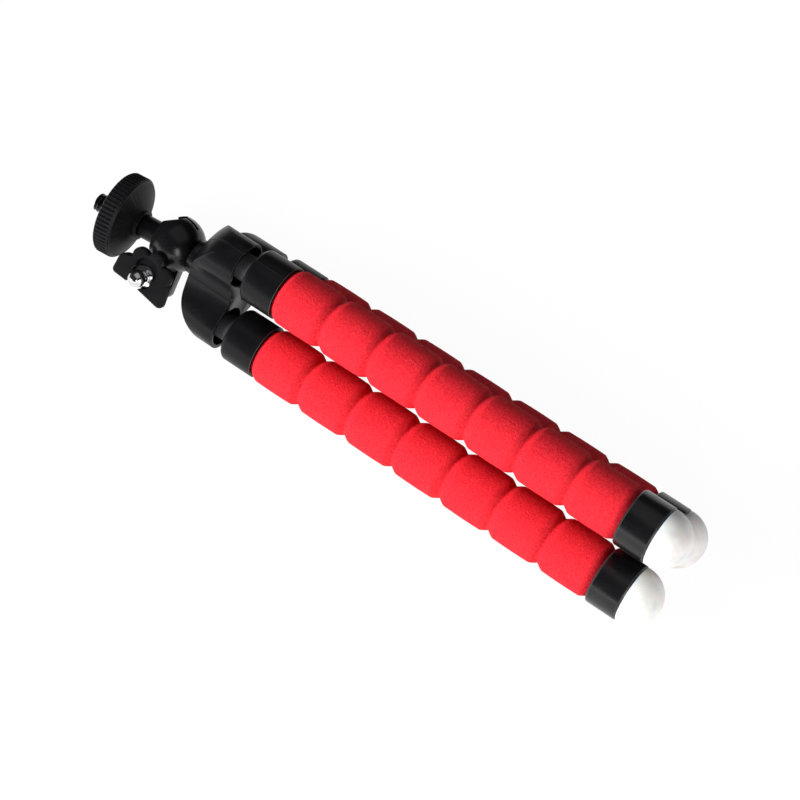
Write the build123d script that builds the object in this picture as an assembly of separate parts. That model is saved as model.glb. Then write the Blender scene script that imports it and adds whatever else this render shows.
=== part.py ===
"""Mini tripod with three bendable foam-covered legs and a ball head, folded and lying down.

Millimetres. +X runs from the head to the feet, +Z is up, and the origin is on the table under the
middle of the tripod. Leg a lies on top of leg b (front) and leg c (back), which rest on the table.
"""
import os
from math import cos, hypot, pi, radians, sin, sqrt, tan

from build123d import *

# Fits and clearances
running_fit = 0.05
press_clearance = 0.03
soft_clearance = 0.3
face_gap = 0.1

# The bundle of three legs
leg_spacing = 24.0
leg_angles = {"leg_a": 90, "leg_b": 210, "leg_c": 330}

# Foam sleeve, cut into ribs by its grooves
foam_radius = 9.7
foam_crown = 0.2
rib_count = 7
rib_pitch = 18.7
groove_depth = 1.4
groove_shoulder = 2.5
foam_lead = 0.4
ring_plug_length = 5.0

# Bendable core wire
wire_radius = 2.0
wire_gap = 0.15
bend_max = 15.0
bend_spare = 0.5

# Collar with the hinge neck, at the top of each leg
collar_radius = 9.3
collar_length = 12.5
collar_wall = 1.3
collar_web = 4.0
collar_edge = 1.8
neck_radius = 4.6
neck_visible = 4.0
neck_wire_depth = 2.0
hinge_depth = 5.5
hinge_eye_width = 7.0
hinge_shoulder = 1.2
hinge_pin_radius = 1.25
hinge_pin_length = 15.0

# End ring and rubber foot
ring_length = 11.2
ring_wall = 1.3
ring_web = 2.5
ring_edge = 0.5
foot_radius = 9.5
foot_rim = 0.6

# Three-lobed hub with a domed front
lobe_radius = 8.35
lobe_wall = 1.3
lobe_length = 17.0
valley_radius = 9.75
dome_wall = 1.0
dome_face_radius = 7.6
dome_side = 5.0
dome_side_radius = 22.3
cavity_depth = 11.5
hub_boss_radius = 5.8
hub_boss_height = 2.4
hinge_boss_radius = 3.0
snap_slot_width = 2.1

# Screw that holds the head on the hub
hub_screw_radius = 2.0
hub_screw_head_radius = 3.6
hub_screw_head_height = 2.4
hub_screw_recess = 5.0
hub_screw_bite = 4.5

# Ball socket with its split clamp
ball_radius = 7.25
socket_radius = 9.5
mouth_half_angle = 54.0
flange_radius = 6.1
flange_thickness = 2.0
flange_start = 8.3
spigot_radius = 4.4
spigot_length = 3.0
clamp_angle = 138.0
slit_width = 1.2
slit_end = 5.0
ear_half_thickness = 3.4
ear_rear = 5.9
far_ear_rear = 3.4
ear_front = 7.2
ear_reach = 18.2
ear_corner = 2.5

# Clamp screw, placed from the ball centre along the head and out along the ears
clamp_along = 2.4
clamp_out = 12.6
clamp_screw_radius = 2.0
clamp_head_across = 7.0
clamp_head_height = 3.0
clamp_head_recess = 1.4
dome_radius = 2.95
dome_height = 12.9
dome_flange_radius = 3.9
dome_flange_start = 8.2
dome_flange_end = 9.2

# Wing knob, its outline placed from the clamp screw along the head and out along the ears
knob_top = 11.2
knob_root_radius = 4.1
knob_recess_radius = 4.3
knob_recess_floor = 6.5
knob_pocket = (-1.0, -3.3)
knob_pocket_radius = 4.4
knob_pocket_floor = 9.3
knob_pocket_wall = 0.6
front_wing = (((6.75, -1.45), 3.45), ((9.2, 2.1), 1.4))
rear_wing = (((-9.4, 3.7), 2.2), ((-9.0, -1.2), 2.2))
knob_lobes = (((2.6, -6.3), 3.3), ((-3.0, -7.9), 3.0), ((-7.9, -4.7), 3.0))
knob_flat = ((10.1, 3.8), (-10.2, 6.2))
knob_notch = (-0.4, 4.4)
knob_turn_clearance = 0.25
knob_edge = 0.5

# Ball stud, platform disc and camera screw, placed from the ball centre
stem_radius = 4.0
stem_clearance = 0.7
rest_tilt = 3.3
rest_lean = 4.2
tilt_max = 45.0
disc_distance = 17.9
disc_radius = 14.45
disc_rim = 6.0
disc_edge = 0.6
disc_back_edge = 1.0
knurl_count = 60
knurl_depth = 0.6
disc_cone_height = 3.4
disc_cone_radius = 12.9
disc_throat_radius = 6.2
disc_ring_radius = 5.2
disc_ring_height = 1.1
disc_relief_radius = 3.9
disc_relief_depth = 0.8
camera_screw_radius = 3.175
camera_screw_shank_radius = 2.6
camera_screw_length = 7.2
camera_screw_chamfer = 0.6
camera_screw_grip = 9.0

# Worked out from the sizes above; along a leg, x is measured from the hub's rear rim
leg_circle = leg_spacing / sqrt(3)
ring_radius = foam_radius
axis_height = foam_radius + leg_circle / 2
foam_start = neck_visible + collar_length
foam_end = foam_start + rib_count * rib_pitch
foot_start = foam_end + ring_length
leg_reach = foot_start + foot_rim + foot_radius
flange_end = flange_start + flange_thickness
socket_to_hub = flange_end + face_gap + hub_boss_height
head_reach = disc_distance + disc_rim + camera_screw_length
hub_x = (head_reach + socket_to_hub + lobe_length - leg_reach) / 2
ball_x = hub_x - lobe_length - socket_to_hub
foam_bore = wire_radius + soft_clearance
valley_reach = leg_circle / 2 + sqrt((lobe_radius + valley_radius) ** 2 - (leg_spacing / 2) ** 2)
hub_front = -lobe_length - hub_boss_height
stem_length = disc_distance - disc_cone_height - disc_ring_height - face_gap
clamp_distance = hypot(clamp_along, clamp_out)

hub_place = Location((hub_x, 0, axis_height))
ball_place = Location((ball_x, 0, axis_height))
clamp_axis = (0, cos(radians(clamp_angle)), sin(radians(clamp_angle)))
clamp_plane = Plane(origin=(ball_x, 0, axis_height), x_dir=(-1, 0, 0), z_dir=clamp_axis)
ear_axis = (0, -sin(radians(clamp_angle)), cos(radians(clamp_angle)))
lean = Location((0, 0, 0), ear_axis, -rest_lean)
stud_place = ball_place * lean * Location((0, 0, 0), clamp_axis, rest_tilt)


def rod(radius, start, end):
    """A plain rod along X from start to end."""
    upright = Cylinder(radius, end - start, align=(Align.CENTER, Align.CENTER, Align.MIN))
    return Pos(start, 0, 0) * Rot(0, 90, 0) * upright


def cross_rod(radius, x, half_length):
    """A rod along Y through the point x of the X axis."""
    return Pos(x, 0, 0) * Rot(90, 0, 0) * Cylinder(radius, 2 * half_length)


def block(x_range, y_range, z_range):
    """A box between two corners given as ranges."""
    size = [high - low for low, high in (x_range, y_range, z_range)]
    centre = [(high + low) / 2 for low, high in (x_range, y_range, z_range)]
    return Pos(*centre) * Box(*size)


def turned(*outline):
    """A solid turned about the X axis from a closed outline of lines and arcs."""
    edges = [edge for line in outline for edge in line.edges()]
    return revolve(make_face(edges), Axis.X)


def rounding(start, end, flat_first):
    """A quarter-round arc from start to end, leaving along X if flat_first, else along Y."""
    share = sin(pi / 4)
    near, far = (share, 1 - share) if flat_first else (1 - share, share)
    middle = (start[0] + near * (end[0] - start[0]), start[1] + far * (end[1] - start[1]))
    return ThreePointArc(start, middle, end)


def hull(*sketches):
    """The outline stretched round some circles."""
    return make_hull([edge for sketch in sketches for edge in sketch.edges()])


def circles(places):
    """Circles given by their middles and radii."""
    return [Pos(*middle) * Circle(radius) for middle, radius in places]


def leg_place(name):
    """Where a leg's own frame lies: X along the leg, Z away from the tripod's middle."""
    angle = leg_angles[name]
    offset = Pos(0, leg_circle * cos(radians(angle)), leg_circle * sin(radians(angle)))
    return hub_place * offset * Rot(angle - 90, 0, 0)


def hinge_x(index):
    """Place along the leg of the groove after rib number index."""
    return foam_start + index * rib_pitch


def foam_end_outline(plane_x, side, plug):
    """Corners from bore to shoulder at one end of a rib; plug is (length, radius) or None."""
    shoulder = (plane_x + side * groove_shoulder, foam_radius - foam_crown)
    if plug:
        length, radius = plug
        far = plane_x - side * length
        root = (plane_x + side * foam_lead, radius)
        return [(far, foam_bore), (far, radius), root], shoulder
    floor_radius = foam_radius - groove_depth
    slope = tan(radians(bend_max / 2 + bend_spare))
    face = (plane_x + side * (wire_gap + slope * foam_bore), foam_bore)
    floor = (plane_x + side * (wire_gap + slope * floor_radius), floor_radius)
    return [face, floor], shoulder


def foam_rib(index):
    """One rib of the sleeve, with sloped ends that close up as the leg bends."""
    start, end = hinge_x(index - 1), hinge_x(index)
    collar_plug = (collar_length - collar_web - soft_clearance,
                   collar_radius - collar_wall - soft_clearance)
    ring_plug = (ring_plug_length, ring_radius - ring_wall - soft_clearance)
    left, left_shoulder = foam_end_outline(start, 1, collar_plug if index == 1 else None)
    right, right_shoulder = foam_end_outline(end, -1, ring_plug if index == rib_count else None)
    crown = ((start + end) / 2, foam_radius)
    return turned(
        Polyline(*left),
        rounding(left[-1], left_shoulder, False),
        ThreePointArc(left_shoulder, crown, right_shoulder),
        rounding(right_shoulder, right[-1], True),
        Polyline(*reversed(right)),
        Line(right[0], left[0]),
    )


def wire_link(index):
    """One length of the core wire, round-ended where the leg bends."""
    collar_end, ring_end = index == 1, index == rib_count
    start = neck_visible - neck_wire_depth if collar_end else hinge_x(index - 1) + wire_gap
    end = ring_web_end - face_gap if ring_end else hinge_x(index) - wire_gap
    start_side = (start if collar_end else start + wire_radius, wire_radius)
    end_side = (end if ring_end else end - wire_radius, wire_radius)
    if collar_end:
        start_line = Line((start, 0), start_side)
    else:
        start_line = rounding((start, 0), start_side, False)
    end_line = Line(end_side, (end, 0)) if ring_end else rounding(end_side, (end, 0), True)
    return turned(start_line, Line(start_side, end_side), end_line, Line((end, 0), (start, 0)))


def collar():
    """Collar that grips the foam, moulded with the neck that hinges in the hub."""
    bore = collar_radius - collar_wall
    floor_x = neck_visible + collar_web
    edge_start = (neck_visible, collar_radius - collar_edge)
    edge_end = (neck_visible + collar_edge, collar_radius)
    cup = turned(
        Line((neck_visible, 0), edge_start),
        rounding(edge_start, edge_end, False),
        Polyline(edge_end, (foam_start, collar_radius), (foam_start, bore), (floor_x, bore), (floor_x, 0)),
        Line((floor_x, 0), (neck_visible, 0)),
    )
    neck = rod(neck_radius, -hinge_shoulder, floor_x)
    half_eye = hinge_eye_width / 2
    tongue = rod(neck_radius, -hinge_depth, 0)
    tongue &= block((-hinge_depth, 0), (-half_eye, half_eye), (-neck_radius, neck_radius))
    eye = cross_rod(neck_radius, -hinge_depth, half_eye)
    body = cup + neck + tongue + eye
    body -= cross_rod(hinge_pin_radius + running_fit, -hinge_depth, collar_radius)
    return body - rod(wire_radius + running_fit, neck_visible - neck_wire_depth - face_gap, foam_start)


ring_web_end = foam_end + ring_plug_length + soft_clearance + ring_web


def end_ring():
    """Ring at the foot of a leg: foam in one end, the foot's plug in the other."""
    bore = ring_radius - ring_wall
    web_start = ring_web_end - ring_web
    inner, outer = foam_end, foot_start
    shell = turned(Polyline(
        (inner, bore), (inner, ring_radius - ring_edge), (inner + ring_edge, ring_radius),
        (outer - ring_edge, ring_radius), (outer, ring_radius - ring_edge), (outer, bore),
        (inner, bore)))
    web = rod(bore + ring_wall / 2, web_start, ring_web_end)
    return shell + web - rod(wire_radius + running_fit, foam_end, foot_start)


def foot():
    """Domed rubber foot with the plug that holds it in the ring."""
    plug_radius = ring_radius - ring_wall - press_clearance
    plug_start = ring_web_end + face_gap
    dome_start = foot_start + foot_rim
    return turned(
        Polyline((plug_start, 0), (plug_start, plug_radius), (foot_start, plug_radius),
                 (foot_start, foot_radius), (dome_start, foot_radius)),
        rounding((dome_start, foot_radius), (dome_start + foot_radius, 0), True),
        Line((dome_start + foot_radius, 0), (plug_start, 0)),
    )


def polar(radius, angle):
    """A point of the hub's cross-section, by its distance and angle from the middle."""
    return (radius * cos(radians(angle)), radius * sin(radians(angle)))


def trefoil():
    """Cross-section of the hub: three round lobes with a concave valley between each two."""
    corners = []
    valleys = Sketch()
    lobes = Sketch()
    for angle in leg_angles.values():
        valley_centre = polar(valley_reach, angle + 180 / len(leg_angles))
        corners += [polar(leg_circle, angle), valley_centre]
        lobes += Pos(*polar(leg_circle, angle)) * Circle(lobe_radius)
        valleys += Pos(*valley_centre) * Circle(valley_radius)
    return Polygon(*corners, align=None) - valleys + lobes


def dome(wall):
    """The space inside the hub's domed front, wall millimetres below its surface."""
    face, side = wall - lobe_length, -dome_side
    side_radius = dome_side_radius - wall
    return turned(
        Line((face, 0), (face, dome_face_radius)),
        rounding((face, dome_face_radius), (side, side_radius), False),
        Polyline((side, side_radius), (lobe_wall, side_radius), (lobe_wall, 0), (face, 0)),
    )


def lobe_inside():
    """What is cut out of a lobe: the cavity left round the two hinge bosses and their slots."""
    half_gap = hinge_eye_width / 2 + running_fit
    cavity_radius = lobe_radius - lobe_wall
    cavity = rod(cavity_radius, -cavity_depth, lobe_wall)
    bosses = cross_rod(hinge_boss_radius, -hinge_depth, lobe_radius)
    bosses -= block((-lobe_length, 0), (-half_gap, half_gap), (-lobe_radius, lobe_radius))
    half_pin = hinge_pin_length / 2 + face_gap
    half_slot = snap_slot_width / 2
    slot = block((-hinge_depth, 0), (-half_pin, half_pin), (-half_slot, half_slot))
    return cavity - bosses + cross_rod(hinge_pin_radius + press_clearance, -hinge_depth, half_pin) + slot


def hub():
    """Hub of three hollow lobes round a middle that takes the head's screw."""
    front = Plane(origin=(-lobe_length, 0, 0), x_dir=(0, 1, 0), z_dir=(1, 0, 0))
    body = front * extrude(trefoil(), lobe_length) & dome(0)
    body += rod(hub_boss_radius, hub_front, -cavity_depth)
    for name in leg_angles:
        place = hub_place.inverse() * leg_place(name)
        body -= place * lobe_inside() & dome(dome_wall)
    body -= rod(hub_screw_head_radius + soft_clearance, -hub_screw_recess, 0)
    body -= rod(hub_screw_radius + face_gap, hub_front, 0)
    return body - rod(spigot_radius + running_fit, hub_front, hub_front + spigot_length + face_gap)


def hub_screw():
    """Screw from the hub's rear into the socket's spigot."""
    seat = face_gap - hub_screw_recess
    tip = hub_front - face_gap + spigot_length - hub_screw_bite
    return rod(hub_screw_head_radius, seat, seat + hub_screw_head_height) + rod(hub_screw_radius, tip, seat)


def clamp_rod(radius, start, end):
    """A rod along the clamp screw's axis."""
    upright = Cylinder(radius, end - start, align=(Align.CENTER, Align.CENTER, Align.MIN))
    return Pos(clamp_along, clamp_out, start) * upright


def ear(rear, bottom, top):
    """One clamp ear, rounded at its free corners."""
    sketch = Pos((ear_front - rear) / 2, ear_reach / 2) * Rectangle(ear_front + rear, ear_reach)
    sketch = fillet(sketch.vertices().group_by(Axis.Y)[-1], ear_corner)
    return Pos(0, 0, bottom) * extrude(sketch, top - bottom)


def ball_socket():
    """Split housing of the ball, with clamp ears, a notch for the stem and a flanged spigot."""
    ears = ear(ear_rear, 0, ear_half_thickness) + ear(far_ear_rear, -ear_half_thickness, 0)
    hex_recess = RegularPolygon(clamp_head_across / 2 + press_clearance, 6, major_radius=False)
    far = 2 * socket_radius
    slot_x = ball_radius * cos(radians(tilt_max))
    slot_half = stem_radius + stem_clearance
    notch = block((slot_x, far), (-far, 0), (-slot_half, slot_half))
    notch += Pos(slot_x, -far / 2, 0) * Rot(90, 0, 0) * Cylinder(slot_half, far)
    slit = block((-slit_end, far), (-far, far), (-slit_width / 2, slit_width / 2))
    bolt_hole = clamp_rod(clamp_screw_radius + running_fit, -far, far)
    head_recess = Pos(clamp_along, clamp_out, -far) * extrude(
        hex_recess, far - ear_half_thickness + clamp_head_recess)
    spigot_end = flange_end + spigot_length
    body = Sphere(socket_radius) + rod(flange_radius, flange_start, flange_end)
    body += rod(spigot_radius, flange_start, spigot_end)
    body = ball_place * body + clamp_plane * ears
    body -= clamp_plane * (notch + slit + bolt_hole + head_recess)
    mouth_width = far * tan(radians(mouth_half_angle))
    mouth = turned(Polyline((0, 0), (-far, mouth_width), (-far, 0), (0, 0)))
    screw_hole = rod(hub_screw_radius + press_clearance, spigot_end - hub_screw_bite - face_gap, spigot_end)
    return body - ball_place * (Sphere(ball_radius + running_fit) + mouth + screw_hole)


def clamp_screw():
    """Bolt through the ears, with a hexagon head below and a flanged domed end in the knob's recess."""
    head_top = clamp_head_recess - ear_half_thickness - press_clearance
    hexagon = RegularPolygon(clamp_head_across / 2, 6, major_radius=False)
    head = Pos(clamp_along, clamp_out, head_top - clamp_head_height) * extrude(hexagon, clamp_head_height)
    dome = Pos(clamp_along, clamp_out, dome_height) * Sphere(dome_radius)
    flange = clamp_rod(dome_flange_radius, dome_flange_start, dome_flange_end)
    return clamp_plane * (head + clamp_rod(clamp_screw_radius, head_top, dome_height) + flange + dome)


def clamp_knob():
    """Lobed wing knob that turns on the clamp screw, hollowed below to pass over the round housing."""
    outline = Pos(*knob_pocket) * Circle(knob_pocket_radius + knob_pocket_wall)
    for wing in (front_wing, rear_wing):
        outline += hull(Circle(knob_root_radius), *circles(wing))
    for lobe in circles(knob_lobes):
        outline += lobe
    (front_x, front_y), (rear_x, rear_y) = knob_flat
    far = 2 * disc_radius
    beyond_flat = Polygon((front_x, front_y), (front_x, far), (rear_x, far), (rear_x, rear_y), align=None)
    outline -= beyond_flat
    outline = fillet(outline.vertices(), knob_edge)
    bottom = ear_half_thickness + face_gap
    centre = Pos(clamp_along, clamp_out, 0)
    body = centre * Pos(0, 0, bottom) * extrude(outline, knob_top - bottom)
    body = chamfer(body.edges().group_by(Axis.Z)[-1], knob_edge)
    body -= clamp_rod(knob_recess_radius, knob_recess_floor, knob_top)
    body -= centre * Pos(*knob_pocket, knob_pocket_floor) * extrude(
        Circle(knob_pocket_radius), knob_top - knob_pocket_floor)
    body -= centre * block(knob_notch, (0, far), (knob_recess_floor, knob_top))
    body -= centre * Torus(clamp_distance, socket_radius + knob_turn_clearance)
    body -= clamp_rod(clamp_screw_radius + running_fit, bottom, knob_top)
    return clamp_plane * body


def ball_stud():
    """Ball with its stem, moulded round the shank of the camera screw."""
    body = Sphere(ball_radius) + rod(stem_radius, -stem_length, 0)
    root = stem_length - camera_screw_grip
    bore = camera_screw_shank_radius + press_clearance
    return stud_place * (body - rod(bore, -stem_length, -root + face_gap))


def camera_screw():
    """Standard camera screw that stands out of the platform disc, on a thinner shank."""
    root = camera_screw_grip - stem_length
    thread = -disc_distance - disc_rim - face_gap
    tip = -head_reach
    tip_radius = camera_screw_radius - camera_screw_chamfer
    return stud_place * turned(Polyline(
        (root, 0), (root, camera_screw_shank_radius), (thread, camera_screw_shank_radius),
        (thread, camera_screw_radius), (tip + camera_screw_chamfer, camera_screw_radius),
        (tip, tip_radius), (tip, 0), (root, 0)))


def platform_disc():
    """Knurled disc that screws up against the camera."""
    back, front = -disc_distance, -disc_distance - disc_rim
    teeth = []
    for index in range(2 * knurl_count):
        radius = disc_radius - knurl_depth * (index % 2)
        angle = pi * index / knurl_count
        teeth.append((radius * cos(angle), radius * sin(angle)))
    knurled = Pos(front, 0, 0) * Rot(0, 90, 0) * extrude(Polygon(*teeth), disc_rim)
    bevelled = turned(Polyline(
        (back, 0), (back, disc_radius - disc_back_edge), (back - disc_back_edge, disc_radius),
        (front + disc_edge, disc_radius), (front, disc_radius - disc_edge), (front, 0), (back, 0)))
    throat_x = back + disc_cone_height
    ring_x = throat_x + disc_ring_height
    underside = turned(Polyline(
        (back, 0), (back, disc_cone_radius), (throat_x, disc_throat_radius), (throat_x, disc_ring_radius),
        (ring_x, disc_ring_radius), (ring_x, 0), (back, 0)))
    bore = rod(camera_screw_shank_radius + running_fit, front, ring_x)
    bore += rod(disc_relief_radius, front, front + disc_relief_depth)
    return stud_place * ((knurled & bevelled) + underside - bore)


def hinge_pins():
    """The three steel pins of the leg hinges, held by the hub."""
    pin = cross_rod(hinge_pin_radius, -hinge_depth, hinge_pin_length / 2)
    return Compound(children=[leg_place(name) * pin for name in leg_angles])


pieces = {
    "hub": hub_place * hub(),
    "hinge_pins": hinge_pins(),
    "hub_screw": hub_place * hub_screw(),
    "ball_socket": ball_socket(),
    "clamp_screw": clamp_screw(),
    "clamp_knob": clamp_knob(),
    "ball_stud": ball_stud(),
    "camera_screw": camera_screw(),
    "platform_disc": platform_disc(),
}
for leg in leg_angles:
    place = leg_place(leg)
    pieces[f"{leg}_collar"] = place * collar()
    for rib in range(1, rib_count + 1):
        pieces[f"{leg}_foam_{rib}"] = place * foam_rib(rib)
        pieces[f"{leg}_wire_{rib}"] = place * wire_link(rib)
    pieces[f"{leg}_end_ring"] = place * end_ring()
    pieces[f"{leg}_foot"] = place * foot()

os.makedirs("parts", exist_ok=True)
for name, piece in pieces.items():
    export_step(piece, f"parts/{name}.step")
print(f"{len(pieces)} pieces, {head_reach + socket_to_hub + lobe_length + leg_reach:.1f} mm long")
print(f"hub at x {hub_x:.2f}, ball at x {ball_x:.2f}, axis height {axis_height:.2f}")
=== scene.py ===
"""Folded mini tripod with bendable foam legs and a ball head, dressed on its CAD frame."""
from math import cos, pi, radians, sin, sqrt

import bpy
from mathutils import Matrix, Vector


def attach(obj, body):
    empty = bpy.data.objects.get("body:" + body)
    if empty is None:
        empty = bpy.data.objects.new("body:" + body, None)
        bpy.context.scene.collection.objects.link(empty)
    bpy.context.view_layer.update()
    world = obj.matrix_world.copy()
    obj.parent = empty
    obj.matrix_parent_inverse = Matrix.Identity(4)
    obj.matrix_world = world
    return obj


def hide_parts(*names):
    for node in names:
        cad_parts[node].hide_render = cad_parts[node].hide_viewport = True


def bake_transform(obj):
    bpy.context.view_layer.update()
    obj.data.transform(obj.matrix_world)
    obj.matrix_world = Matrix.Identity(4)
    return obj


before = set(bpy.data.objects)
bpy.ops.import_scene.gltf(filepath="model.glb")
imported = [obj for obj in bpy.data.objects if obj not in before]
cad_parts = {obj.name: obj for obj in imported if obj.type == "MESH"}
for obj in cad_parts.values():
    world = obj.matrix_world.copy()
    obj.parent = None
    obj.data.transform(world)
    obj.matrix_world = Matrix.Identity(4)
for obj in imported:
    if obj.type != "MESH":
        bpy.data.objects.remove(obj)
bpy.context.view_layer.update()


# Studio. The tripod lies on a white sweep that the photograph shows as pure white, with no edge
# and hardly a shadow. A wide soft box stands at the front left, and four weaker ones lift the
# undersides, the head, the feet's end and the top.
class Field:
    """A value that varies over a surface; a sum or product with it adds the nodes."""

    def __init__(self, paint, socket):
        self.paint, self.socket = paint, socket

    def maths(self, operation, *values):
        return self.paint.node("ShaderNodeMath", {"operation": operation}, dict(enumerate(values)))

    def __add__(self, other):
        return self.maths("ADD", self, other)

    def __sub__(self, other):
        return self.maths("SUBTRACT", self, other)

    def __rsub__(self, other):
        return self.maths("SUBTRACT", other, self)

    def __mul__(self, other):
        return self.maths("MULTIPLY", self, other)

    def __truediv__(self, other):
        return self.maths("DIVIDE", self, other)

    __radd__ = __add__
    __rmul__ = __mul__

    def clamped(self):
        return self.maths("MAXIMUM", self.maths("MINIMUM", self, 1), 0)

    def rising(self, low, high):
        """0 below low, 1 above high."""
        return ((self - low) / (high - low)).clamped()

    def band(self, middle, half, soft):
        """1 within half of middle, fading to 0 over soft."""
        away = self.maths("ABSOLUTE", self - middle)
        return 1 - away.rising(half, half + soft)


class Paint:
    """One finish: a Principled shader and the nodes that vary it."""

    def __init__(self, name, **settings):
        self.material = bpy.data.materials.new(name)
        self.material.use_nodes = True
        self.tree = self.material.node_tree
        self.shader = self.tree.nodes["Principled BSDF"]
        for socket, value in settings.items():
            self.shader.inputs[socket.replace("_", " ")].default_value = value
        self.place = self.node("ShaderNodeTexCoord", {}, {}, "Object")
        spread = self.node("ShaderNodeSeparateXYZ", {}, {0: self.place})
        outputs = spread.socket.node.outputs
        self.y, self.z = [Field(self, outputs[axis]) for axis in "YZ"]

    def node(self, kind, settings, inputs, output=0):
        """Any node, with its settings, its sockets' values or links, and the output that counts."""
        made = self.tree.nodes.new(kind)
        for name, value in settings.items():
            setattr(made, name, value)
        for name, value in inputs.items():
            if isinstance(value, Field):
                self.tree.links.new(value.socket, made.inputs[name])
            else:
                made.inputs[name].default_value = value
        return Field(self, made.outputs[output])

    def noise(self, size, detail, roughness):
        """Cloudy noise from 0 to 1 with lumps of about that size in metres."""
        inputs = {"Vector": self.place, "Scale": 1 / size, "Detail": detail, "Roughness": roughness}
        return self.node("ShaderNodeTexNoise", {}, inputs, "Fac")

    def mix(self, share, low, high):
        """A colour between two colours."""
        return self.node("ShaderNodeMix", {"data_type": "RGBA"}, {0: share, 6: low, 7: high}, 2)

    def bump(self, height, distance, strength, below=None):
        """A surface relief, on top of another one."""
        inputs = {"Height": height, "Distance": distance, "Strength": strength}
        if below:
            inputs["Normal"] = below
        return self.node("ShaderNodeBump", {}, inputs, "Normal")

    def set(self, **fields):
        """Feeds fields to the shader's sockets."""
        for socket, field in fields.items():
            self.tree.links.new(field.socket, self.shader.inputs[socket.replace("_", " ")])

    def cover(self, *objects):
        for thing in objects:
            thing.data.materials.clear()
            thing.data.materials.append(self.material)


def deselect():
    if bpy.context.object and bpy.context.object.mode != "OBJECT":
        bpy.ops.object.mode_set(mode="OBJECT")
    bpy.ops.object.select_all(action="DESELECT")


def white_floor():
    """A pale floor that glows only for the camera and in mirrors, so that it keeps a faint shadow."""
    floor_size, glow_strength, glow_seen, glow_mirrored = 6, 1.03, 0.93, 0.9
    paint = Paint("white sweep", Base_Color=(0.86, 0.86, 0.86, 1), Roughness=0.9)
    seen = paint.node("ShaderNodeLightPath", {}, {}, "Is Camera Ray")
    glossy = Field(paint, seen.socket.node.outputs["Is Glossy Ray"])
    glow = paint.node("ShaderNodeEmission", {}, {"Color": (1, 1, 1, 1), "Strength": glow_strength})
    share = (seen * glow_seen + glossy * glow_mirrored).clamped()
    mixed = paint.node("ShaderNodeMixShader", {}, {0: share, 2: glow})
    paint.tree.links.new(paint.shader.outputs[0], mixed.socket.node.inputs[1])
    paint.tree.links.new(mixed.socket, paint.tree.nodes["Material Output"].inputs[0])
    deselect()
    bpy.ops.mesh.primitive_plane_add(size=floor_size, location=(0, 0, 0))
    floor = bpy.context.object
    floor.name = "floor"
    paint.cover(floor)


def soft_box(name, place, target, size, watts, mirrored=True):
    lamp = bpy.data.lights.new(name, "AREA")
    lamp.shape = "RECTANGLE"
    lamp.size, lamp.size_y = size
    lamp.energy = watts
    box = bpy.data.objects.new(name, lamp)
    bpy.context.scene.collection.objects.link(box)
    box.location = place
    box.rotation_euler = (Vector(target) - Vector(place)).to_track_quat("-Z", "Y").to_euler()
    box.visible_glossy = mirrored


def photo_camera():
    """The camera that sees the tripod as the photograph does, angles in degrees."""
    place, looks_down, turned_by = (0.2194, -0.2851, 0.6624), 61.46, 36.64
    focal_length, sensor_width = 104.7, 36
    lens = bpy.data.cameras.new("camera")
    lens.lens, lens.sensor_width = focal_length, sensor_width
    camera = bpy.data.objects.new("camera", lens)
    bpy.context.scene.collection.objects.link(camera)
    camera.location = place
    camera.rotation_euler = (radians(90 - looks_down), 0, radians(turned_by))
    return camera


def studio():
    world_strength = 0.03
    scene = bpy.context.scene
    scene.view_settings.view_transform = "Standard"
    white_floor()
    soft_box("key", (-1.35, -1.3, 0.84), (0, 0, 0.02), (1.9, 1.0), 89, mirrored=False)
    soft_box("low strip", (-0.3, -1.1, 0.12), (0, 0, 0.02), (2.0, 0.2), 3)
    soft_box("spark", (0.55, -0.73, 0.39), (-0.08, 0, 0.02), (0.22, 0.5), 2.2)
    soft_box("end light", (1.2, -0.3, 0.27), (0.09, 0, 0.02), (0.6, 0.4), 8)
    soft_box("top fill", (0.1, 0.3, 1.3), (0, 0, 0), (1.8, 1.4), 2.5)
    world = bpy.data.worlds.new("studio")
    scene.world = world
    world.use_nodes = True
    background = world.node_tree.nodes["Background"]
    background.inputs["Color"].default_value = (1, 1, 1, 1)
    background.inputs["Strength"].default_value = world_strength
    scene.camera = photo_camera()


studio()


# Foam sleeves. Each leg wears one sleeve of soft closed-cell foam, turned or moulded in one
# piece, with six grooves that let it bend. Its ends are pushed into the collar and the ring.
MM = 0.001
leg_spacing = 24.0 * MM
leg_angles = {"leg_a": 90, "leg_b": 210, "leg_c": 330}
leg_circle = leg_spacing / sqrt(3)
foam_radius = 9.7 * MM
axis_height = foam_radius + leg_circle / 2
hub_x = -53.9 * MM
foam_start = 16.5 * MM
rib_pitch = 18.7 * MM
rib_count = 7
foam_end = foam_start + rib_count * rib_pitch


def leg_place(leg):
    """A leg's own frame: X along the leg from the hub's rear, Z away from the middle."""
    angle = radians(leg_angles[leg])
    middle = Vector((hub_x, leg_circle * cos(angle), axis_height + leg_circle * sin(angle)))
    return Matrix.Translation(middle) @ Matrix.Rotation(angle - pi / 2, 4, "X")


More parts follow.
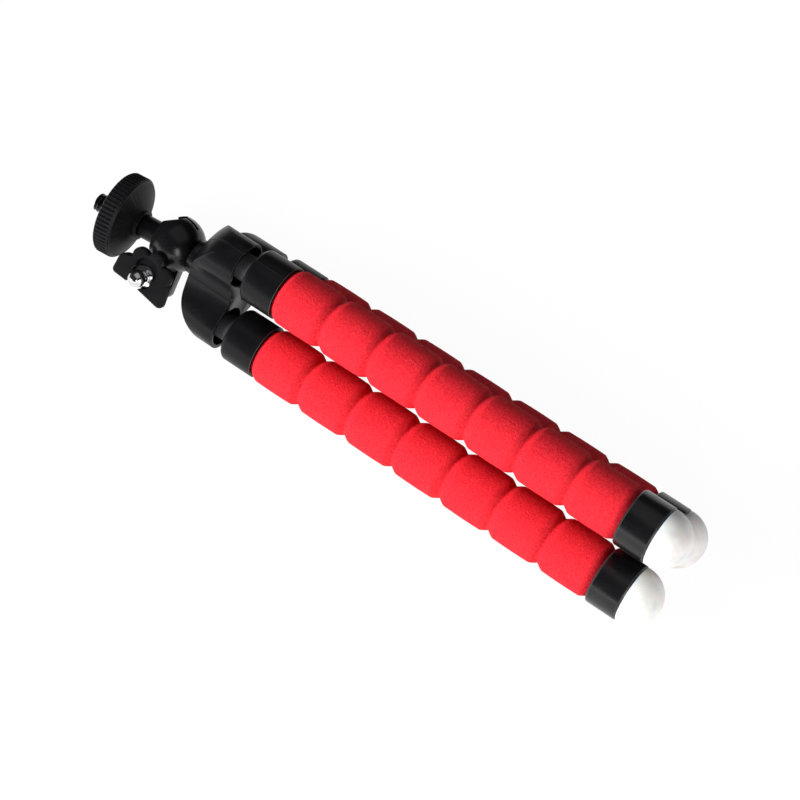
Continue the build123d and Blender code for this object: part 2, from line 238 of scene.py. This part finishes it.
def turned(name, outline):
    """A skin of revolution about X: a circle extruded from station to station of (x, radius)."""
    sides = 80
    deselect()
    start, radius = outline[0]
    bpy.ops.mesh.primitive_circle_add(vertices=sides, radius=radius, location=(start, 0, 0),
                                      rotation=(0, pi / 2, 0))
    skin = bpy.context.object
    skin.name = skin.data.name = name
    bpy.ops.object.transform_apply()
    bpy.ops.object.mode_set(mode="EDIT")
    bpy.ops.mesh.select_all(action="SELECT")
    for station, wider in outline[1:]:
        bpy.ops.mesh.extrude_region_move(TRANSFORM_OT_translate={"value": (station - start, 0, 0)})
        share = wider / radius
        bpy.ops.transform.resize(value=(1, share, share), center_override=(station, 0, 0))
        start, radius = station, wider
    bpy.ops.mesh.select_all(action="SELECT")
    bpy.ops.mesh.normals_make_consistent(inside=False)
    bpy.ops.object.mode_set(mode="OBJECT")
    bpy.ops.object.shade_smooth()
    return skin


def rib_radius(x):
    """The sleeve's radius along a leg: crowned ribs with steep, round-shouldered grooves."""
    crown, depth, shoulder, floor = 0.2 * MM, 1.5 * MM, 2.5 * MM, 0.35 * MM
    slope, rounding = 0.8, 0.2
    along = (x - foam_start) % rib_pitch
    to_groove = min(along, rib_pitch - along)
    to_middle = 1 - to_groove / (rib_pitch / 2)
    radius = foam_radius - crown * to_middle ** 2
    if to_groove < shoulder:
        share = min(1, (shoulder - to_groove) / (shoulder - floor))
        radius -= (depth - crown) * (slope * share + rounding * (1 - sqrt(1 - share ** 2)))
    return radius


def foam_paint():
    """Matte red: fine pores and lumps speckle the colour and roughen the skin."""
    deep_red, light_red = (0.48, 0.004, 0.018, 1), (0.86, 0.036, 0.044, 1)
    paint = Paint("red foam", Roughness=0.85, Specular_IOR_Level=0.15)
    lumps = paint.noise(0.8 * MM, 2, 0.55)
    pores = paint.noise(0.35 * MM, 2, 0.6)
    cloud = paint.noise(9 * MM, 2, 0.5)
    light = (pores.rising(0.35, 0.65) * 0.5 + lumps.rising(0.3, 0.7) * 0.3 + cloud * 0.2).clamped()
    colour = paint.mix(light, deep_red, light_red)
    wrinkles = paint.bump(lumps, 0.4 * MM, 0.6)
    relief = paint.bump(pores, 0.25 * MM, 0.9, wrinkles)
    paint.set(Base_Color=colour, Normal=relief)
    return paint


def sleeve_outline(first, last):
    """Stations along a leg. Inside the collar and the ring the foam is squeezed to their bores."""
    station_gap, edge = 0.45 * MM, 0.4 * MM
    radius_in_collar, radius_in_ring = 7.7 * MM, 8.1 * MM
    outline = []
    steps = round((last - first) / station_gap)
    for step in range(steps + 1):
        x = first + (last - first) * step / steps
        radius = rib_radius(x)
        if x < foam_start + edge:
            radius = radius_in_collar
        if x > foam_end - edge:
            radius = radius_in_ring
        outline.append((x, radius))
    return outline


def foam_sleeve(leg, paint):
    """Six pieces from mid-rib to mid-rib, each spanning one groove."""
    tuck, bend_reach = 3 * MM, 3 * MM
    place = leg_place(leg)
    for k in range(1, rib_count):
        first = foam_start - tuck if k == 1 else foam_start + (k - 0.5) * rib_pitch
        last = foam_end + tuck if k == rib_count - 1 else foam_start + (k + 0.5) * rib_pitch
        piece = turned(f"{leg}_sleeve_{k}", sleeve_outline(first, last))
        piece.data.transform(place)
        paint.cover(piece)
        replaced = [f"{leg}_foam_{k}"] + ([f"{leg}_foam_{k + 1}"] if k == rib_count - 1 else [])
        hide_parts(*replaced)
        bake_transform(piece)


red_foam = foam_paint()
for leg in leg_angles:
    foam_sleeve(leg, red_foam)


# Hub. One shell of black nylon, injection moulded as three lobes with a domed front and valleys
# between them. Its edges are painted lighter, partly as wear and partly as a painted highlight, and a
# mould seam runs down each lobe and each valley.
def plastic_paint(name, colour, roughness, seams=None, gloss=0.2, grey_mask=None, depth=0.0):
    """Cloudy satin skin with fine grain: raised seams, a lighter grey over a mask, and lit from within by
    depth.
    """
    grey = (0.09, 0.09, 0.095, 1)
    paint = Paint(name, Roughness=roughness, Specular_IOR_Level=gloss, Subsurface_Weight=depth,
                  Subsurface_Scale=5 * MM)
    cloud = paint.noise(6 * MM, 3, 0.6)
    grain = paint.noise(0.4 * MM, 2, 0.5)
    scuffs = paint.noise(2.1 * MM, 4, 0.7).rising(0.58, 0.75)
    dark = (*[channel * 0.75 for channel in colour], 1)
    light = (*[channel * 1.3 for channel in colour], 1)
    relief = paint.bump(grain, 0.03 * MM, 0.6)
    if seams:
        relief = paint.bump(seams(paint), 0.2 * MM, 1.0, relief)
    shade = paint.mix(cloud, dark, light)
    # Where the mask is high, the colour turns a lighter grey.
    if grey_mask:
        shade = paint.mix(grey_mask(paint), shade, grey)
    paint.set(Base_Color=shade,
              Roughness=cloud * 0.14 + scuffs * 0.1 + (roughness - 0.09), Normal=relief)
    return paint


def softened(node, width, body, *paints, slot="black_plastic"):
    """A copy of a CAD piece whose sharp edges are rounded and wear the last paint."""
    weld, flat_angle, sharp_angle, smooth_angle = 0.002 * MM, 0.6, 32, 38
    deselect()
    piece = bpy.data.objects.new(f"{node}_skin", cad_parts[node].data.copy())
    piece.data.name = piece.name
    bpy.context.scene.collection.objects.link(piece)
    bpy.context.view_layer.objects.active = piece
    piece.select_set(True)
    bpy.ops.object.mode_set(mode="EDIT")
    bpy.ops.mesh.select_all(action="SELECT")
    bpy.ops.mesh.remove_doubles(threshold=weld)
    bpy.ops.mesh.dissolve_limited(angle_limit=radians(flat_angle))
    bpy.ops.object.mode_set(mode="OBJECT")
    piece.data.materials.clear()
    for paint in paints:
        piece.data.materials.append(paint.material)
    edges = piece.modifiers.new("rounded edges", "BEVEL")
    edges.width, edges.segments, edges.profile = width, 2, 0.5
    edges.limit_method, edges.angle_limit = "ANGLE", radians(sharp_angle)
    edges.material = len(paints) - 1
    bpy.ops.object.modifier_apply(modifier=edges.name)
    bpy.ops.object.shade_smooth_by_angle(angle=radians(smooth_angle))
    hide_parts(node)
    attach(piece, body)
    return piece


def mould_seams(paint, turns, reach):
    """Narrow raised lines along the tripod, at some angles from each leg and past a reach."""
    half_width, fade, onset = 0.16 * MM, 0.14 * MM, 0.5 * MM
    seams = 0
    for angle in leg_angles.values():
        for turn in turns:
            line = radians(angle + turn)
            across = (paint.z - axis_height) * cos(line) - paint.y * sin(line)
            outwards = paint.y * cos(line) + (paint.z - axis_height) * sin(line)
            seams = across.band(0, half_width, fade) * outwards.rising(reach, reach + onset) + seams
    return seams


def hub_seams(paint):
    return mould_seams(paint, (0, 60), 9 * MM)


def collar_seams(paint):
    return mould_seams(paint, (0,), leg_circle)


def necks(paint):
    """1 near a leg's axis, where the collar narrows to its neck."""
    neck_radius = 5 * MM
    inside = 0
    for angle in leg_angles.values():
        y = (paint.y - leg_circle * cos(radians(angle))) / neck_radius
        z = (paint.z - axis_height - leg_circle * sin(radians(angle))) / neck_radius
        inside = 1 - (y * y + z * z).rising(0.9, 1.1) + inside
    return inside


nylon = (0.0045, 0.0045, 0.0052)
hub_nylon = plastic_paint("black nylon of the hub", nylon, 0.34, hub_seams)
# Lighter paint for rounded edges: partly wear, partly a painted highlight along the rims.
worn_and_highlit_edge = plastic_paint("worn nylon edge with a painted highlight", (0.08, 0.08, 0.085), 0.36)
softened("hub", 0.32 * MM, "hub", hub_nylon, worn_and_highlit_edge)


# Collars. A cup of black nylon grips each sleeve, moulded in one with the neck that hinges in the
# hub, coloured a lighter grey. The two mould halves leave a seam along the cup.
seamed_nylon = plastic_paint("black nylon of the collars", nylon, 0.38, collar_seams, grey_mask=necks)
for leg in leg_angles:
    softened(f"{leg}_collar", 0.35 * MM, f"{leg}_root", seamed_nylon, worn_and_highlit_edge)


# End rings and feet. A nylon ring closes each sleeve, and a soft off-white rubber dome, moulded
# with a plug, is pressed into it.
ring_nylon = plastic_paint("black nylon of the rings", nylon, 0.3, gloss=0.45)
# The rings' rounded edges are painted lighter: a painted highlight along the mouths.
ring_edge_highlight = plastic_paint("painted highlight on the ring edges", (0.035, 0.035, 0.037), 0.3)
white_rubber = plastic_paint("white rubber", (0.75, 0.745, 0.725), 0.45, depth=0.5)
for leg in leg_angles:
    softened(f"{leg}_end_ring", 0.22 * MM, f"{leg}_tip", ring_nylon, ring_edge_highlight)
    softened(f"{leg}_foot", 0.25 * MM, f"{leg}_tip", white_rubber, slot="white_rubber")


# Ball socket. A split housing of glossier black nylon, held on the hub by a screw from behind,
# clamps the ball between two ears that the clamp screw draws together.
gloss_nylon = plastic_paint("glossy black nylon", nylon, 0.26, gloss=0.4)
# Lighter paint for rounded edges: a faint painted highlight along the rims.
faint_highlight_edge = plastic_paint("edge of black nylon", (0.02, 0.02, 0.021), 0.36)
softened("ball_socket", 0.3 * MM, "head_base", gloss_nylon, faint_highlight_edge)


# Wing knob. Moulded in dull black nylon as lobes round the clamp screw, with a pocket and a deeper
# recess in its top where the screw's end stands out. Its edges are painted grey, partly as wear and
# partly as a painted highlight.
dull_nylon = plastic_paint("dull black nylon", nylon, 0.48, gloss=0.12)
softened("clamp_knob", 0.25 * MM, "knob", dull_nylon, worn_and_highlit_edge)


# Ball stud and platform disc. The ball and its stem are moulded round the camera screw, and the
# knurled disc turns on it. The teeth's edges are painted lighter as a painted highlight.
black_nylon = plastic_paint("black nylon", nylon, 0.38)
softened("ball_stud", 0.3 * MM, "ball", black_nylon, faint_highlight_edge)
softened("platform_disc", 0.1 * MM, "disc", dull_nylon, faint_highlight_edge)


# Steel. The clamp screw is bright plated steel. The pins, wires and hub screw inside are plain
# steel, and the camera screw is blackened.
def metal_paint(name, colour, roughness):
    paint = Paint(name, Metallic=1.0, Roughness=roughness)
    cloud = paint.noise(3 * MM, 3, 0.6)
    dark = (*[channel * 0.85 for channel in colour], 1)
    paint.set(Base_Color=paint.mix(cloud, dark, (*colour, 1)), Roughness=cloud * 0.1 + (roughness - 0.03))
    return paint


bright_steel = metal_paint("bright plated steel", (0.86, 0.86, 0.87), 0.10)
softened("clamp_screw", 0.15 * MM, "head_base", bright_steel, slot="bright_steel")
plain_steel = metal_paint("plain steel", (0.5, 0.5, 0.5), 0.35)
plain_steel.cover(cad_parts["hinge_pins"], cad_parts["hub_screw"])
for leg in leg_angles:
    for k in range(1, rib_count + 1):
        plain_steel.cover(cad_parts[f"{leg}_wire_{k}"])


# Camera screw. Its thread is a helix of the standard pitch, rolled on blackened steel and cut off
# square at the disc, where the plain shank begins.
def stud_place():
    """The stud's own frame: X back along the stem from the tip, origin at the ball's centre."""
    ball = Vector((-83.7 * MM, 0, axis_height))
    clamp_angle, rest_tilt, rest_lean = radians(138), radians(3.3), radians(4.2)
    clamp_axis = Vector((0, cos(clamp_angle), sin(clamp_angle)))
    ear_axis = Vector((0, -sin(clamp_angle), cos(clamp_angle)))
    lean = Matrix.Rotation(-rest_lean, 4, ear_axis)
    return Matrix.Translation(ball) @ lean @ Matrix.Rotation(rest_tilt, 4, clamp_axis)


def camera_screw(paint):
    pitch, crest, root, shank = 1.27 * MM, 3.175 * MM, 2.65 * MM, 2.6 * MM
    thread_start, tip, shank_end = -24.0 * MM, -31.1 * MM, -4.3 * MM
    flank, land, turns, turn_steps, weld, smooth_angle = 0.4, 0.2, 7, 48, 0.002 * MM, 35
    deselect()
    bpy.ops.mesh.primitive_plane_add(size=MM, location=(thread_start + pitch, 0, root))
    screw = bpy.context.object
    screw.name = screw.data.name = "camera_screw_thread"
    bpy.ops.object.transform_apply()
    bpy.ops.object.mode_set(mode="EDIT")
    bpy.ops.mesh.select_all(action="SELECT")
    bpy.ops.mesh.merge(type="CENTER")
    for along, up in ((-flank, crest - root), (-land, 0), (-flank, root - crest)):
        bpy.ops.mesh.extrude_region_move(TRANSFORM_OT_translate={"value": (along * pitch, 0, up)})
    bpy.ops.object.mode_set(mode="OBJECT")
    helix = screw.modifiers.new("helix", "SCREW")
    helix.axis, helix.screw_offset, helix.iterations = "X", -pitch, turns
    helix.steps = helix.render_steps = turn_steps
    helix.use_merge_vertices = True
    bpy.ops.object.modifier_apply(modifier=helix.name)
    bpy.ops.object.mode_set(mode="EDIT")
    for cut, above in ((thread_start, True), (tip, False)):
        bpy.ops.mesh.select_all(action="SELECT")
        bpy.ops.mesh.remove_doubles(threshold=weld)
        bpy.ops.mesh.select_all(action="SELECT")
        bpy.ops.mesh.bisect(plane_co=(cut, 0, 0), plane_no=(1, 0, 0), use_fill=True,
                            clear_outer=above, clear_inner=not above)
    shank_middle = (shank_end + thread_start) / 2
    bpy.ops.mesh.primitive_cylinder_add(vertices=turn_steps, radius=shank,
                                        depth=shank_end - thread_start,
                                        location=(shank_middle, 0, 0), rotation=(0, pi / 2, 0))
    bpy.ops.mesh.select_all(action="SELECT")
    bpy.ops.mesh.normals_make_consistent(inside=False)
    bpy.ops.object.mode_set(mode="OBJECT")
    bpy.ops.object.shade_smooth_by_angle(angle=radians(smooth_angle))
    screw.data.transform(stud_place())
    paint.cover(screw)
    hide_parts("camera_screw")
    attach(screw, "ball")


dark_steel = metal_paint("blackened steel", (0.10, 0.10, 0.105), 0.33)
camera_screw(dark_steel)
